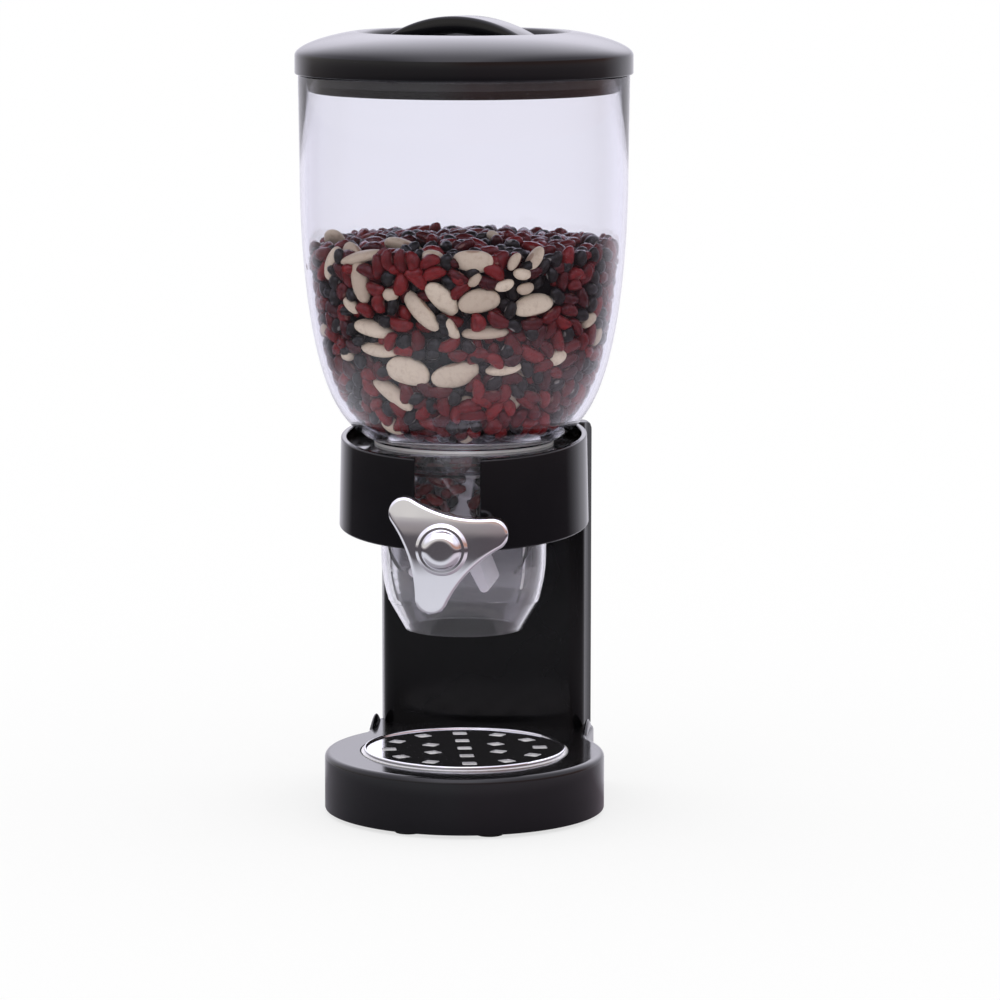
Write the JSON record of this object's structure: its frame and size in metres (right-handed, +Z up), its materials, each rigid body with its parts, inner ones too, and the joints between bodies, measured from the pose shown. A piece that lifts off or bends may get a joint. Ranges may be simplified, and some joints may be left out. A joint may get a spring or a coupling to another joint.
{
  "type": "gravity bulk food bin",
  "caption": "Countertop dry-food dispenser: clear bin with lid over a hand-turned paddle chamber, held by a ring on a column above a round base with a crumb tray.",
  "frame": {"origin": "centre of the overall footprint on the table, on the bin's axis", "axes": "+Z up along the bin's axis, front with the knob towards -Y, +X to the right seen from the front"},
  "size_m": [0.176, 0.176, 0.42],
  "materials": {
    "black_gloss": "glossy moulded plastic",
    "black_matte": "satin moulded plastic",
    "foot_rubber": "matt rubber",
    "screw_steel": "plated steel",
    "tray_white": "white moulded plastic",
    "polished_steel": "polished stainless steel",
    "clear_plastic": "clear moulded plastic",
    "pale_silicone": "pale silicone",
    "bush_plastic": "natural nylon",
    "knob_chrome": "bright chrome plate"
  },
  "bodies": {
    "stand": {"base_shell": "black_gloss", "base_cover": "black_matte", "rubber_feet": "foot_rubber", "base_screws": "screw_steel", "column_front": "black_gloss", "column_back": "black_gloss", "column_screws": "screw_steel", "back_screws": "screw_steel", "holder_ring": "black_gloss", "ring_screws": "screw_steel"},
    "tray": {"crumb_tray": "tray_white"},
    "grille": {"grille_plate": "polished_steel", "grille_rim": "polished_steel"},
    "hopper": {"bin": "clear_plastic", "bin_gasket": "pale_silicone", "chamber": "clear_plastic", "front_bush": "bush_plastic", "rear_bush": "bush_plastic"},
    "rotor": {"drive_shaft": "screw_steel", "shaft_clip": "screw_steel", "paddle_core": "bush_plastic", "paddle_blades": "pale_silicone", "knob": "knob_chrome", "knob_cap": "knob_chrome", "knob_screw": "screw_steel"},
    "lid": {"lid_shell": "black_gloss", "lid_plug": "black_matte", "lid_seal": "foot_rubber"}
  },
  "joints": [
    {"name": "hopper_lift", "type": "slide", "parent": "stand", "child": "hopper", "axis": [0, 0, 1], "range_m": [0, 0.115]},
    {"name": "lid_lift", "type": "slide", "parent": "hopper", "child": "lid", "axis": [0, 0, 1], "range_m": [0, 0.05]},
    {"name": "knob_turn", "type": "hinge", "parent": "hopper", "child": "rotor", "pos_m": [0, 0, 0.1525], "axis": [0, -1, 0], "continuous": true},
    {"name": "tray_lift", "type": "slide", "parent": "stand", "child": "tray", "axis": [0, 0, 1], "range_m": [0, 0.03]},
    {"name": "grille_lift", "type": "slide", "parent": "tray", "child": "grille", "axis": [0, 0, 1], "range_m": [0, 0.03]}
  ]
}
